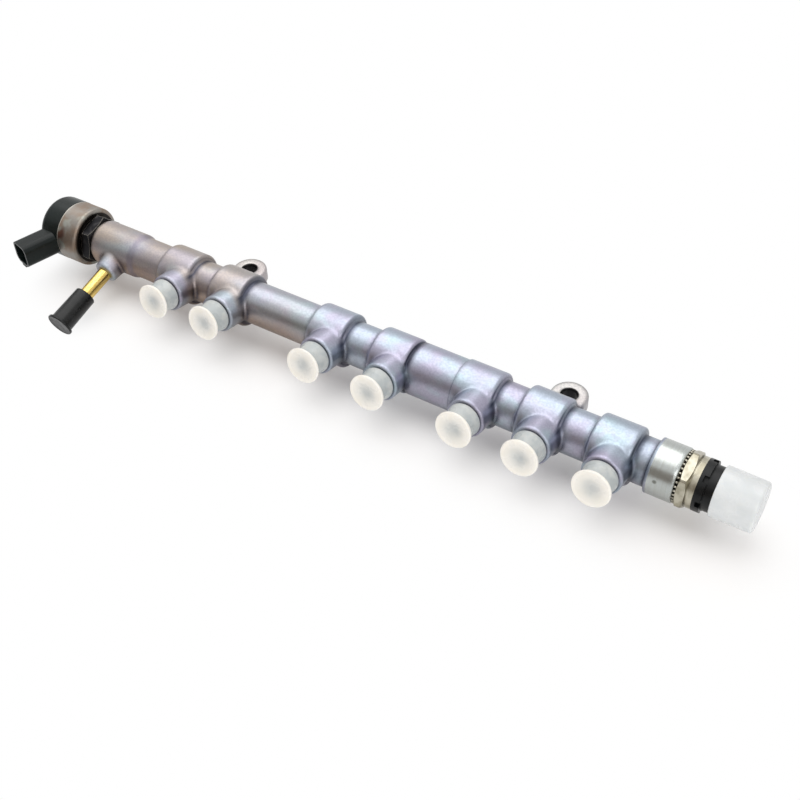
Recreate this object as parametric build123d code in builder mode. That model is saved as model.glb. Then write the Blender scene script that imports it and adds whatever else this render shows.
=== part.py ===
"""Forged common rail with seven capped ports, a pressure valve and a pressure sensor.

Frame: the origin is midway between the two ear holes, on the ears' lower seat face.
+X runs along the rail towards the sensor, +Z is up along the ear holes, and the ports
face -Y.  Lengthwise stations are measured from the valve end of the forged body.
All sizes are in millimetres.
"""
from build123d import *
from math import cos, radians, sin
import os

os.makedirs("parts", exist_ok=True)

# rail body
valve_end_x = -194.5
axis_y = -20.8
axis_z = 6.5
collar_r = 13.1
collar_length = 29.0
collar_run = 3.0
collar_round = 6.0
end_round = 1.2
neck_r = 11.9
block_r = 15.0
block_width = 21.6
block_shifts = [-5.2, -4.0, -3.0, -3.4, -3.3, -3.2, -2.4]
block_round = 1.6
neck_round = 1.4
thick_r = 14.3
groove_width = 1.8
groove_r = 12.8
end_r = 14.0
end_length = 13.8
end_chamfer = 0.5
first_port = 68.7
port_pitches = [35.8, 66.5, 39.6, 50.2, 35.9, 37.0]
last_run = 31.1
groove_count = 3

# bores inside the body
main_bore_r = 5.0
socket_r = 9.0
valve_socket_depth = 26.0
sensor_socket_depth = 15.0
socket_cone = 4.0
socket_fit = 0.05

# ports
port_rise = 11.0
port_bore_r = 1.5
boss_r = 10.4
boss_face = 23.2
boss_root = 8.0
boss_draft = 2.0
boss_blend = 1.2
boss_rim = 0.7
nose_r = 7.0
nose_length = 10.2
seat_r = 4.0
seat_depth = 3.6
seat_half_angle = 30.0

# port caps
cap_fit = 0.05
cap_wall = 1.95
cap_gap = 0.1
cap_flange_r = 9.95
cap_flange = 1.8
cap_round = 0.5
dimple_r = 3.4
dimple_depth = 1.1
dimple_slope = 35.0

# return nipple and its cap
nipple_x = 15.7
nipple_drop = 13.0
nipple_boss_r = 6.8
nipple_boss_face = 19.6
nipple_boss_root = 6.0
nipple_boss_draft = 7.0
nipple_blend = 1.2
nipple_r = 4.1
nipple_bore_r = 2.7
nipple_inner = 11.0
nipple_length = 34.2
nipple_drill_r = 2.0
sleeve_grip = 7.3
sleeve_length = 24.2
sleeve_r = 5.7
sleeve_flange_r = 8.1
sleeve_flange = 1.8
sleeve_round = 0.5
sleeve_gap = 1.0

# mounting ears
ear_half_spacing = 101.7
ear_thickness = 8.0
ear_r = 9.8
ear_hole_r = 4.5
ear_round = 1.2

# pressure valve
nut_face_r = 12.4
nut_face_length = 0.7
nut_flats = 26.0
nut_length = 6.4
nut_turn = 15.0
nut_chamfer = 0.9
shoulder_r = 13.2
shoulder_length = 1.4
can_r = 17.7
can_length = 14.1
can_wall = 2.4
can_floor = 2.6
can_round = 1.8
tube_r = 7.4
tube_inset = 0.7
tube_end_wall = 1.2
tube_bore_r = 5.5
stem_wall = 1.5
seat_thick = 2.5
seat_hole_r = 0.8
ball_r = 1.5
ball_pocket_r = 3.0
ball_pocket_depth = 2.4
pin_bore_r = 1.2
pin_fit = 0.05
armature_fit = 0.1
armature_gap = 3.9
armature_length = 9.0
spring_r = 2.6
spring_wire_r = 0.5
spring_pitch = 1.9
bobbin_flange_r = 14.6
bobbin_flange = 1.0
bobbin_wall = 0.9
coil_inset = 0.6

# valve cover and its socket
cover_r = 17.8
cover_length = 14.8
cover_round = 4.0
plug_inset = 2.7
plug_tilt = 15.0
plug_rise = 1.5
plug_width = 14.2
plug_height = 14.2
plug_corner = 4.0
plug_root = 16.3
plug_face = 37.0
plug_wall = 1.4
plug_depth = 9.5
latch_width = 4.0
latch_height = 1.4
latch_length = 3.0
blade_width = 2.4
blade_thick = 0.7
blade_gap = 5.0
blade_reach = 6.5
blade_root = 2.0

# pressure sensor
shank_length = 12.5
hub_r = 12.4
hub_length = 1.4
hex_flats = 26.6
hex_corner_r = 15.0
hex_length = 4.4
hex_turn = 20.0
hex_chamfer = 0.9
waist_r = 11.6
waist_length = 0.9
ring_r = 12.9
ring_length = 2.7
pressure_hole_r = 1.6
cell_r = 7.0
cell_seat = 5.5
cell_thick = 6.0
cell_hollow_r = 3.0
cell_skin = 0.8
wide_r = 13.1
wide_length = 3.9
step_r = 11.4
step_length = 4.2
barrel_r = 10.6
barrel_length = 10.6
barrel_wall = 1.6
barrel_depth = 10.0
notch_width = 3.4
notch_depth = 2.2
notch_length = 2.2
notch_count = 6
pocket_r = 9.4
pocket_depth = 5.9
board_gap = 0.8
board_thick = 1.2
contact_width = 1.6
contact_thick = 0.6
contact_pitch = 4.0
contact_inset = 2.5
shield_r = 12.9
shield_length = 20.9
shield_wall = 1.9
shield_round = 1.6

# stations along the body and its ports
port_x = [first_port + sum(port_pitches[:i]) for i in range(len(port_pitches) + 1)]
body_length = port_x[-1] + last_run
end_start = body_length - end_length
nose_end = boss_face + nose_length
cap_bore_r = nose_r + cap_fit
cap_skirt_r = cap_bore_r + cap_wall
cap_flange_start = nose_end + cap_gap
cap_face = cap_flange_start + cap_flange
nipple_outer = nipple_inner + nipple_length
sleeve_start = nipple_outer - sleeve_grip
sleeve_end = sleeve_start + sleeve_length
sleeve_floor = nipple_outer + sleeve_gap

# stations of the valve, outwards from the body's end face and inwards from it
nut_end = -nut_face_length
nut_start = nut_end - nut_length
can_front = nut_start - shoulder_length
can_back = can_front - can_length
cover_back = can_back - cover_length
plug_x = can_back - plug_inset
tube_back = can_back + tube_inset
tube_bore_back = tube_back + tube_end_wall
tube_bore_front = -stem_wall
armature_back = tube_bore_back + armature_gap
armature_front = armature_back + armature_length
socket_end = valve_socket_depth - socket_cone
stem_end = socket_end - seat_thick
ball_x = stem_end - (ball_r ** 2 - seat_hole_r ** 2) ** 0.5
winding_front = can_front - can_floor
stem_r = socket_r - socket_fit

# stations of the sensor, outwards from the body's other end face
shank_start = body_length - shank_length
hub_end = body_length + hub_length
hex_end = hub_end + hex_length
waist_end = hex_end + waist_length
ring_end = waist_end + ring_length
wide_end = ring_end + wide_length
step_end = wide_end + step_length
barrel_end = step_end + barrel_length
barrel_floor = barrel_end - barrel_depth
pocket_end = ring_end + pocket_depth
cell_start = shank_start + cell_seat
contact_start = ring_end + board_thick
contact_tip = barrel_end - contact_inset
shield_end = step_end + shield_length

rail_origin = Vector(valve_end_x, axis_y, axis_z)
rail_line = Axis(rail_origin, (1, 0, 0))
lengthwise = Plane(origin=rail_origin, x_dir=(1, 0, 0), z_dir=(0, -1, 0))
across = Plane(origin=rail_origin, x_dir=(0, 1, 0), z_dir=(1, 0, 0))
port_dir = (0, -cos(radians(port_rise)), sin(radians(port_rise)))
port_planes = [Plane(origin=rail_origin + Vector(x, 0, 0), x_dir=(1, 0, 0), z_dir=port_dir)
               for x in port_x]
nipple_plane = Plane(origin=rail_origin + Vector(nipple_x, 0, 0), x_dir=(1, 0, 0),
                     z_dir=(0, -cos(radians(nipple_drop)), -sin(radians(nipple_drop))))
plug_dir = (-sin(radians(plug_tilt)), -cos(radians(plug_tilt)), sin(radians(plug_rise)))
plug_plane = Plane(origin=rail_origin + Vector(plug_x, 0, 0),
                   x_dir=(cos(radians(plug_tilt)), -sin(radians(plug_tilt)), 0), z_dir=plug_dir)

# outer outline of the forging, from the valve end to the sensor end
block_left = [x + shift - block_width / 2 for x, shift in zip(port_x, block_shifts)]
block_right = [left + block_width for left in block_left]
thick_left = block_right[groove_count] + groove_width
thick_right = block_left[groove_count + 1]
outline = [(0, 0), (0, collar_r), (collar_length, collar_r),
           (collar_length + collar_run, neck_r)]
for i, left in enumerate(block_left):
    waist = thick_r if i == groove_count + 1 else neck_r
    outline += [(left, waist), (left, block_r), (block_right[i], block_r)]
    if i == groove_count:
        outline += [(block_right[i], groove_r), (thick_left, groove_r), (thick_left, thick_r)]
    else:
        outline += [(block_right[i], neck_r)]
outline += [(end_start, neck_r), (end_start, end_r), (body_length - end_chamfer, end_r),
            (body_length, end_r - end_chamfer), (body_length, 0)]

# the two flat ears, each a tongue that starts on the rail's axis
with BuildPart() as ears:
    for side in (-1, 1):
        with BuildSketch():
            with BuildLine():
                tip = side * ear_half_spacing
                Polyline((tip - ear_r, 0), (tip - ear_r, axis_y), (tip + ear_r, axis_y),
                         (tip + ear_r, 0))
                ThreePointArc((tip + ear_r, 0), (tip, ear_r), (tip - ear_r, 0))
            make_face()
        extrude(amount=ear_thickness)
    fillet(ears.edges().filter_by(GeomType.CIRCLE), ear_round)

# --- rail body -------------------------------------------------------------------
with BuildPart() as rail_body:
    with BuildSketch(lengthwise) as forging:
        with BuildLine():
            Polyline(*outline, close=True)
        make_face()
        tops = [v for v in forging.vertices() if abs(v.Y - block_r) < 0.01
                and abs(v.X - thick_right) > 0.1]
        fillet(tops, block_round)
        roots = [v for v in forging.vertices() if abs(v.Y - neck_r) < 0.01
                 and block_left[0] - 0.1 < v.X < block_right[-1] + 0.1]
        fillet(roots, neck_round)
        steps = [v for v in forging.vertices() if collar_length - 0.1 < v.X < block_left[0] - 2]
        fillet(steps, collar_round)
        lip = [v for v in forging.vertices() if v.X < 0.01 and v.Y > 1]
        fillet(lip, end_round)
    revolve(axis=rail_line)
    for plane in port_planes:
        with BuildSketch(plane.offset(boss_face)):
            Circle(boss_r)
        extrude(amount=boss_root - boss_face, taper=-boss_draft)
    groove_x = valve_end_x + block_right[groove_count]
    blends = [e for e in rail_body.edges()
              if e.geom_type in (GeomType.BSPLINE, GeomType.BEZIER, GeomType.HYPERBOLA)
              and not -0.1 < e.center().X - groove_x < boss_r / 2]
    fillet(blends, boss_blend)
    with BuildSketch(nipple_plane.offset(nipple_boss_face)):
        Circle(nipple_boss_r)
    extrude(amount=nipple_boss_root - nipple_boss_face, taper=-nipple_boss_draft)
    nipple_blends = [e for e in rail_body.edges(Select.NEW) if e.geom_type != GeomType.CIRCLE
                     and e.geom_type != GeomType.LINE]
    fillet(nipple_blends, nipple_blend)
    boss_rims = [e for e in rail_body.edges().filter_by(GeomType.CIRCLE)
                 if abs(e.radius - boss_r) < 0.01 or abs(e.radius - nipple_boss_r) < 0.01]
    fillet(boss_rims, boss_rim)
    for plane in port_planes:
        with BuildSketch(plane.offset(boss_face)):
            Circle(nose_r)
        extrude(amount=nose_length)
    add(ears.part)
    with Locations((-ear_half_spacing, 0, 0), (ear_half_spacing, 0, 0)):
        Cylinder(ear_hole_r, ear_thickness, align=(Align.CENTER, Align.CENTER, Align.MIN),
                 mode=Mode.SUBTRACT)
    hollow = [(0, 0), (0, socket_r), (socket_end, socket_r), (valve_socket_depth, main_bore_r),
              (body_length - sensor_socket_depth - socket_cone, main_bore_r),
              (body_length - sensor_socket_depth, socket_r), (body_length, socket_r),
              (body_length, 0)]
    with BuildSketch(lengthwise):
        with BuildLine():
            Polyline(*hollow, close=True)
        make_face()
    revolve(axis=rail_line, mode=Mode.SUBTRACT)
    for plane in port_planes:
        with BuildSketch(plane):
            Circle(port_bore_r)
        extrude(amount=nose_end, mode=Mode.SUBTRACT)
        with BuildSketch(plane.offset(nose_end)):
            Circle(seat_r)
        extrude(amount=-seat_depth, taper=seat_half_angle, mode=Mode.SUBTRACT)
    with BuildSketch(nipple_plane):
        Circle(nipple_drill_r)
    extrude(amount=nipple_inner, mode=Mode.SUBTRACT)
    with BuildSketch(nipple_plane.offset(nipple_inner)):
        Circle(nipple_r)
    extrude(amount=nipple_boss_face - nipple_inner, mode=Mode.SUBTRACT)
rail_body.part.label = "rail_body"
export_step(rail_body.part, "parts/rail_body.step")

# --- port caps -------------------------------------------------------------------
for i, plane in enumerate(port_planes):
    with BuildPart() as port_cap:
        with BuildSketch(plane.offset(boss_face)):
            Circle(cap_skirt_r)
            Circle(cap_bore_r, mode=Mode.SUBTRACT)
        extrude(amount=cap_flange_start - boss_face)
        with BuildSketch(plane.offset(cap_flange_start)):
            Circle(cap_flange_r)
        extrude(amount=cap_flange)
        rim = port_cap.edges().filter_by(GeomType.CIRCLE).filter_by(
            lambda e: abs(e.radius - cap_flange_r) < 0.01)
        fillet(rim, cap_round)
        with BuildSketch(plane.offset(cap_face)):
            Circle(dimple_r)
        extrude(amount=-dimple_depth, taper=dimple_slope, mode=Mode.SUBTRACT)
    port_cap.part.label = f"port_cap_{i + 1}"
    export_step(port_cap.part, f"parts/port_cap_{i + 1}.step")

# --- return nipple and its rubber cap ----------------------------------------------
with BuildPart() as return_nipple:
    with BuildSketch(nipple_plane.offset(nipple_inner)):
        Circle(nipple_r)
        Circle(nipple_bore_r, mode=Mode.SUBTRACT)
    extrude(amount=nipple_length)
return_nipple.part.label = "return_nipple"
export_step(return_nipple.part, "parts/return_nipple.step")

with BuildPart() as nipple_cap:
    with BuildSketch(nipple_plane.offset(sleeve_start)):
        Circle(sleeve_r)
    extrude(amount=sleeve_length)
    with BuildSketch(nipple_plane.offset(sleeve_end)):
        Circle(sleeve_flange_r)
    extrude(amount=-sleeve_flange)
    rims = nipple_cap.edges().filter_by(GeomType.CIRCLE).filter_by(
        lambda e: abs(e.radius - sleeve_flange_r) < 0.01)
    fillet(rims, sleeve_round)
    with BuildSketch(nipple_plane.offset(sleeve_start)):
        Circle(nipple_r)
    extrude(amount=sleeve_floor - sleeve_start, mode=Mode.SUBTRACT)
nipple_cap.part.label = "nipple_cap"
export_step(nipple_cap.part, "parts/nipple_cap.step")

# --- pressure valve ----------------------------------------------------------------
with BuildPart() as valve_can:
    with BuildSketch(across.offset(can_back)):
        Circle(can_r)
    extrude(amount=can_length)
    front_rim = valve_can.edges().filter_by(GeomType.CIRCLE).sort_by(Axis.X)[-1:]
    fillet(front_rim, can_round)
    with BuildSketch(across.offset(can_back)):
        Circle(can_r - can_wall)
    extrude(amount=can_length - can_floor, mode=Mode.SUBTRACT)
    with BuildSketch(across.offset(can_front)):
        Circle(tube_r)
    extrude(amount=-can_floor, mode=Mode.SUBTRACT)
valve_can.part.label = "valve_can"
export_step(valve_can.part, "parts/valve_can.step")

with BuildPart() as valve_nut:
    with BuildSketch(across.offset(nut_start)):
        RegularPolygon(nut_flats / 2, 6, major_radius=False, rotation=nut_turn)
    extrude(amount=nut_length)
    nut_corner = nut_flats / 2 / cos(radians(30))
    with BuildSketch(lengthwise):
        with BuildLine():
            Polyline((nut_start, 0), (nut_start, nut_flats / 2), (nut_start + nut_chamfer, nut_corner),
                     (nut_end - nut_chamfer, nut_corner), (nut_end, nut_flats / 2), (nut_end, 0),
                     close=True)
        make_face()
    revolve(axis=rail_line, mode=Mode.INTERSECT)
    with BuildSketch(across.offset(can_front)):
        Circle(shoulder_r)
    extrude(amount=shoulder_length)
    with BuildSketch(across.offset(nut_end)):
        Circle(nut_face_r)
    extrude(amount=nut_face_length)
    with BuildSketch(across.offset(can_front)):
        Circle(stem_r)
    extrude(amount=-can_front, mode=Mode.SUBTRACT)
valve_nut.part.label = "valve_nut"
export_step(valve_nut.part, "parts/valve_nut.step")

with BuildPart() as valve_stem:
    with BuildSketch(across.offset(can_front)):
        Circle(stem_r)
    extrude(amount=stem_end - can_front)
    with BuildSketch(across.offset(tube_back)):
        Circle(tube_r)
    extrude(amount=can_front - tube_back)
    with BuildSketch(across.offset(tube_bore_back)):
        Circle(tube_bore_r)
    extrude(amount=tube_bore_front - tube_bore_back, mode=Mode.SUBTRACT)
    with BuildSketch(across.offset(tube_bore_front)):
        Circle(pin_bore_r)
    extrude(amount=stem_end - tube_bore_front, mode=Mode.SUBTRACT)
    with BuildSketch(across.offset(stem_end)):
        Circle(ball_pocket_r)
    extrude(amount=-ball_pocket_depth, mode=Mode.SUBTRACT)
valve_stem.part.label = "valve_stem"
export_step(valve_stem.part, "parts/valve_stem.step")

with BuildPart() as valve_seat:
    with BuildSketch(across.offset(stem_end)):
        Circle(socket_r)
        Circle(seat_hole_r, mode=Mode.SUBTRACT)
    extrude(amount=seat_thick)
valve_seat.part.label = "valve_seat"
export_step(valve_seat.part, "parts/valve_seat.step")

with BuildPart() as valve_ball:
    with Locations(rail_origin + Vector(ball_x, 0, 0)):
        Sphere(ball_r)
valve_ball.part.label = "valve_ball"
export_step(valve_ball.part, "parts/valve_ball.step")

with BuildPart() as valve_armature:
    with BuildSketch(across.offset(armature_back)):
        Circle(tube_bore_r - armature_fit)
    extrude(amount=armature_length)
    with BuildSketch(across.offset(armature_front)):
        Circle(pin_bore_r - pin_fit)
    extrude(amount=ball_x - ball_r - armature_front)
valve_armature.part.label = "valve_armature"
export_step(valve_armature.part, "parts/valve_armature.step")

with BuildPart() as valve_spring:
    with BuildLine() as coil_path:
        Helix(spring_pitch, tube_bore_front - armature_front - 2 * spring_wire_r, spring_r,
              center=rail_origin + Vector(armature_front + spring_wire_r, 0, 0),
              direction=(1, 0, 0))
    with BuildSketch(coil_path.line ^ 0):
        Circle(spring_wire_r)
    sweep(is_frenet=True)
valve_spring.part.label = "valve_spring"
export_step(valve_spring.part, "parts/valve_spring.step")

with BuildPart() as valve_bobbin:
    with BuildSketch(across.offset(tube_back)):
        Circle(tube_r + bobbin_wall)
    extrude(amount=winding_front - tube_back)
    with BuildSketch(across.offset(tube_back), across.offset(winding_front - bobbin_flange)):
        Circle(bobbin_flange_r)
    extrude(amount=bobbin_flange)
    with BuildSketch(across.offset(tube_back)):
        Circle(tube_r)
    extrude(amount=winding_front - tube_back, mode=Mode.SUBTRACT)
valve_bobbin.part.label = "valve_bobbin"
export_step(valve_bobbin.part, "parts/valve_bobbin.step")

with BuildPart() as valve_coil:
    with BuildSketch(across.offset(tube_back + bobbin_flange)):
        Circle(bobbin_flange_r - coil_inset)
        Circle(tube_r + bobbin_wall, mode=Mode.SUBTRACT)
    extrude(amount=winding_front - tube_back - 2 * bobbin_flange)
valve_coil.part.label = "valve_coil"
export_step(valve_coil.part, "parts/valve_coil.step")

# --- valve cover with its socket -----------------------------------------------------
with BuildPart() as valve_cover:
    with BuildSketch(across.offset(can_back)):
        Circle(cover_r)
    extrude(amount=-cover_length)
    back_rim = valve_cover.edges().filter_by(GeomType.CIRCLE).sort_by(Axis.X)[:1]
    fillet(back_rim, cover_round)
    with BuildSketch(plug_plane.offset(plug_root)):
        RectangleRounded(plug_width, plug_height, plug_corner)
    extrude(amount=plug_face - plug_root)
    with BuildSketch(plug_plane.offset(plug_face)):
        with Locations((0, -plug_height / 2)):
            Rectangle(latch_width, 2 * latch_height)
    extrude(amount=-latch_length)
    with BuildSketch(plug_plane.offset(plug_face)):
        RectangleRounded(plug_width - 2 * plug_wall, plug_height - 2 * plug_wall,
                         plug_corner - plug_wall)
    extrude(amount=-plug_depth, mode=Mode.SUBTRACT)
    with BuildSketch(plug_plane.offset(plug_face - plug_depth)):
        with Locations((-blade_gap / 2, 0), (blade_gap / 2, 0)):
            Rectangle(blade_thick, blade_width)
    extrude(amount=-blade_root, mode=Mode.SUBTRACT)
valve_cover.part.label = "valve_cover"
export_step(valve_cover.part, "parts/valve_cover.step")

for i, side in enumerate((-1, 1)):
    with BuildPart() as terminal:
        with BuildSketch(plug_plane.offset(plug_face - plug_depth - blade_root)):
            with Locations((side * blade_gap / 2, 0)):
                Rectangle(blade_thick, blade_width)
        extrude(amount=blade_root + blade_reach)
    terminal.part.label = f"valve_terminal_{i + 1}"
    export_step(terminal.part, f"parts/valve_terminal_{i + 1}.step")

# --- pressure sensor -------------------------------------------------------------------
with BuildPart() as sensor_body:
    with BuildSketch(across.offset(hub_end)):
        RegularPolygon(hex_flats / 2, 6, major_radius=False, rotation=hex_turn)
    extrude(amount=hex_length)
    with BuildSketch(lengthwise):
        with BuildLine():
            Polyline((hub_end, 0), (hub_end, hex_flats / 2), (hub_end + hex_chamfer, hex_corner_r),
                     (hex_end - hex_chamfer, hex_corner_r), (hex_end, hex_flats / 2), (hex_end, 0),
                     close=True)
        make_face()
    revolve(axis=rail_line, mode=Mode.INTERSECT)
    with BuildSketch(across.offset(shank_start)):
        Circle(stem_r)
    extrude(amount=shank_length)
    with BuildSketch(across.offset(body_length)):
        Circle(hub_r)
    extrude(amount=hub_length)
    with BuildSketch(across.offset(hex_end)):
        Circle(waist_r)
    extrude(amount=waist_length)
    with BuildSketch(across.offset(waist_end)):
        Circle(ring_r)
    extrude(amount=ring_length)
    with BuildSketch(across.offset(shank_start)):
        Circle(pressure_hole_r)
    extrude(amount=cell_seat, mode=Mode.SUBTRACT)
    with BuildSketch(across.offset(cell_start)):
        Circle(cell_r)
    extrude(amount=ring_end - cell_start, mode=Mode.SUBTRACT)
sensor_body.part.label = "sensor_body"
export_step(sensor_body.part, "parts/sensor_body.step")

with BuildPart() as sensor_cell:
    with BuildSketch(across.offset(cell_start)):
        Circle(cell_r)
    extrude(amount=cell_thick)
    with BuildSketch(across.offset(cell_start)):
        Circle(cell_hollow_r)
    extrude(amount=cell_thick - cell_skin, mode=Mode.SUBTRACT)
sensor_cell.part.label = "sensor_cell"
export_step(sensor_cell.part, "parts/sensor_cell.step")

with BuildPart() as sensor_seal:
    with BuildSketch(across.offset(body_length - sensor_socket_depth)):
        Circle(socket_r)
        Circle(main_bore_r, mode=Mode.SUBTRACT)
    extrude(amount=sensor_socket_depth - shank_length)
sensor_seal.part.label = "sensor_seal"
export_step(sensor_seal.part, "parts/sensor_seal.step")

with BuildPart() as sensor_connector:
    with BuildSketch(across.offset(ring_end)):
        Circle(wide_r)
    extrude(amount=wide_length)
    with BuildSketch(across.offset(wide_end)):
        with PolarLocations(wide_r, notch_count):
            Rectangle(2 * notch_depth, notch_width)
    extrude(amount=-notch_length, mode=Mode.SUBTRACT)
    with BuildSketch(across.offset(wide_end)):
        Circle(step_r)
    extrude(amount=step_length)
    with BuildSketch(across.offset(step_end)):
        Circle(barrel_r)
    extrude(amount=barrel_length)
    with BuildSketch(across.offset(ring_end)):
        Circle(pocket_r)
    extrude(amount=pocket_depth, mode=Mode.SUBTRACT)
    with BuildSketch(across.offset(barrel_end)):
        Circle(barrel_r - barrel_wall)
    extrude(amount=-barrel_depth, mode=Mode.SUBTRACT)
    with BuildSketch(across.offset(pocket_end)):
        with Locations((-contact_pitch, 0), (0, 0), (contact_pitch, 0)):
            Rectangle(contact_thick, contact_width)
    extrude(amount=barrel_floor - pocket_end, mode=Mode.SUBTRACT)
sensor_connector.part.label = "sensor_connector"
export_step(sensor_connector.part, "parts/sensor_connector.step")

with BuildPart() as sensor_board:
    with BuildSketch(across.offset(ring_end)):
        Circle(pocket_r - board_gap)
    extrude(amount=board_thick)
sensor_board.part.label = "sensor_board"
export_step(sensor_board.part, "parts/sensor_board.step")

for i, y in enumerate((-contact_pitch, 0, contact_pitch)):
    with BuildPart() as contact:
        with BuildSketch(across.offset(contact_start)):
            with Locations((y, 0)):
                Rectangle(contact_thick, contact_width)
        extrude(amount=contact_tip - contact_start)
    contact.part.label = f"sensor_contact_{i + 1}"
    export_step(contact.part, f"parts/sensor_contact_{i + 1}.step")

with BuildPart() as sensor_cap:
    with BuildSketch(across.offset(step_end)):
        Circle(shield_r)
    extrude(amount=shield_length)
    far_rim = sensor_cap.edges().filter_by(GeomType.CIRCLE).sort_by(Axis.X)[-1:]
    fillet(far_rim, shield_round)
    with BuildSketch(across.offset(step_end)):
        Circle(barrel_r)
    extrude(amount=shield_length - shield_wall, mode=Mode.SUBTRACT)
sensor_cap.part.label = "sensor_cap"
export_step(sensor_cap.part, "parts/sensor_cap.step")
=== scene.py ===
"""Finishes, moulded caps, small trim, floor, lamps and camera of a common rail fuel rail.

It is laid out as an add-on and run as a script.  Lengths are in metres in the part's own frame:
the origin lies midway between the ear holes, +X runs towards the sensor, +Z is up along the ear
holes and the ports face -Y.  Sizes written in millimetres are multiplied by MM.
"""

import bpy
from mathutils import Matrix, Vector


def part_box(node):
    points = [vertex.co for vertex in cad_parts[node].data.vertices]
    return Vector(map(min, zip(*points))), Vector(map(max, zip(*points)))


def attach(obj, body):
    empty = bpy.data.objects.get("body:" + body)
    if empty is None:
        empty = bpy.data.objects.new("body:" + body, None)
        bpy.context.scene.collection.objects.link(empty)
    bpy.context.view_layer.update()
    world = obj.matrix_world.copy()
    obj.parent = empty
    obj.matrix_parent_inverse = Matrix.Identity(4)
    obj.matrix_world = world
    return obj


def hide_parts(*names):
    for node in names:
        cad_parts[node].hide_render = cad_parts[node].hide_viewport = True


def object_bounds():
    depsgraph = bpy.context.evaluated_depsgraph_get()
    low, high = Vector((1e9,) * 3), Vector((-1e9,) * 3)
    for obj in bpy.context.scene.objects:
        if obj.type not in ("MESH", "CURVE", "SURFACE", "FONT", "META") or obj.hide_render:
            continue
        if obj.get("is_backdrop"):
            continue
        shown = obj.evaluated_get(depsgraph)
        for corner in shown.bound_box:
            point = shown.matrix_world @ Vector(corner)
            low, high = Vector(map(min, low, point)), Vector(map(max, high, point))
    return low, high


bl_info = {
    "name": "Fuel Rail Finishes",
    "version": (1, 0, 0),
    "blender": (4, 5, 0),
    "location": "View3D > Sidebar > Fuel Rail",
    "description": "Caps, trim, finishes and studio for a common rail fuel rail",
    "category": "Object",
}

from functools import partial
from math import cos, pi, radians, sin, tan

import bpy
import numpy as np
from mathutils import Matrix, Vector

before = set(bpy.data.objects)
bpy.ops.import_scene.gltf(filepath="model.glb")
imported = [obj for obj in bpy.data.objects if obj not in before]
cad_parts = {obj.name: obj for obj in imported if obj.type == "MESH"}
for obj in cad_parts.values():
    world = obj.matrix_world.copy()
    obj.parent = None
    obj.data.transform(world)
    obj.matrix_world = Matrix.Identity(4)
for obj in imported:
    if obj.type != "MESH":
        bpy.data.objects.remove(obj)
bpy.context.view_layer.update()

MM = 0.001
PORT_CAPS = sorted(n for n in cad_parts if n.startswith("port_cap_"))
BLOCK_ENDS = (5.6, 6.8, 7.8, 7.4, 7.5, 7.6, 8.4)     # mm from each port to its block's far end
EAR_SPACING = 203.4 * MM                             # between the ears' holes
EAR_HOLE_R = 4.5 * MM


def middle(node):
    """The middle of a CAD node's box, in metres."""
    low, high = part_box(node)
    return (low + high) / 2


def reach(node, origin, direction):
    """Where a CAD node starts and ends along a line from origin, and how far it stands out from
    that line, all in millimetres: p . d and |p - (p . d) d| over its points p."""
    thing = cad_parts[node]
    points = np.zeros(len(thing.data.vertices) * 3)
    thing.data.vertices.foreach_get("co", points)
    points = (points.reshape(-1, 3) - np.array(origin)) / MM
    line = np.array(Vector(direction).normalized())
    along = points @ line
    away = np.linalg.norm(points - along[:, None] * line, axis=1)
    return along.min(), along.max(), away.max()


RAIL_AXIS = middle("sensor_cap")          # y and z of the rail's axis
VALVE_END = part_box("valve_nut")[1].x      # x of the forging's valve end
SENSOR_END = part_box("rail_body")[1].x     # x of its sensor end
STEP_X = VALVE_END + 30.5 * MM            # where its valve end steps down to the neck
LAND_X = SENSOR_END - 12.6 * MM           # where its turned land starts
ROOTS_FROM, ROOTS_TO = -0.2, 0.2          # the stretch of x that holds every block
PUNCH_DOT = (0.1615, -0.0342, 0.0105)     # a centre-punch dot on the turned land
CAN_SMEAR = (-0.2155, -0.0365, 0.0155)    # a rust-brown smear on the valve's can


# ---------------------------------------------------------------- colours and nodes

SMOOTH = {"interpolation_type": "SMOOTHSTEP"}     # a Map Range that eases in and out
COLOURS = {"data_type": "RGBA"}                   # a Mix of colours
TIMES = {"operation": "MULTIPLY"}
LARGER = {"operation": "MAXIMUM"}
APART = {"operation": "DISTANCE"}


def linear(hex_colour):
    """An sRGB hex colour such as "c0c4cc" as three linear numbers."""
    part = np.array([int(hex_colour[i:i + 2], 16) for i in (0, 2, 4)]) / 255
    return tuple(np.where(part <= 0.04045, part / 12.92, ((part + 0.055) / 1.055) ** 2.4))


def feed(node, *values, **named):
    """Gives a node's inputs their values, in the order in which they show or by name, with _ for
    a space.  A value is a number, a colour, an output, or a node, whose first output is linked."""
    shown = [socket for socket in node.inputs if socket.enabled][:len(values)]
    chosen = [node.inputs[key.replace("_", " ")] for key in named]
    for socket, value in zip(shown + chosen, [*values, *named.values()]):
        if isinstance(value, bpy.types.Node):
            value = next(output for output in value.outputs if output.enabled)
        if isinstance(value, bpy.types.NodeSocket):
            node.id_data.links.new(value, socket)
        elif hasattr(value, "__len__") and len(value) < len(socket.default_value):
            socket.default_value = (*value, 1.0)
        else:
            socket.default_value = value


def put(tree, kind, *values, **named):
    """Adds one node.  Names that start small are its own settings; the rest goes to feed."""
    node = tree.nodes.new("ShaderNode" + kind)
    for key in [key for key in named if key[0].islower()]:
        setattr(node, key, named.pop(key))
    feed(node, *values, **named)
    return node


def new_finish(name):
    """An empty material, put for its tree, its Principled shader and its Object coordinates."""
    material = bpy.data.materials.new(name)
    material.use_nodes = True
    tree = material.node_tree
    shader = next(n for n in tree.nodes if n.type == "BSDF_PRINCIPLED")
    add = partial(put, tree)
    return material, add, shader, add("TexCoord").outputs["Object"]


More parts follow.
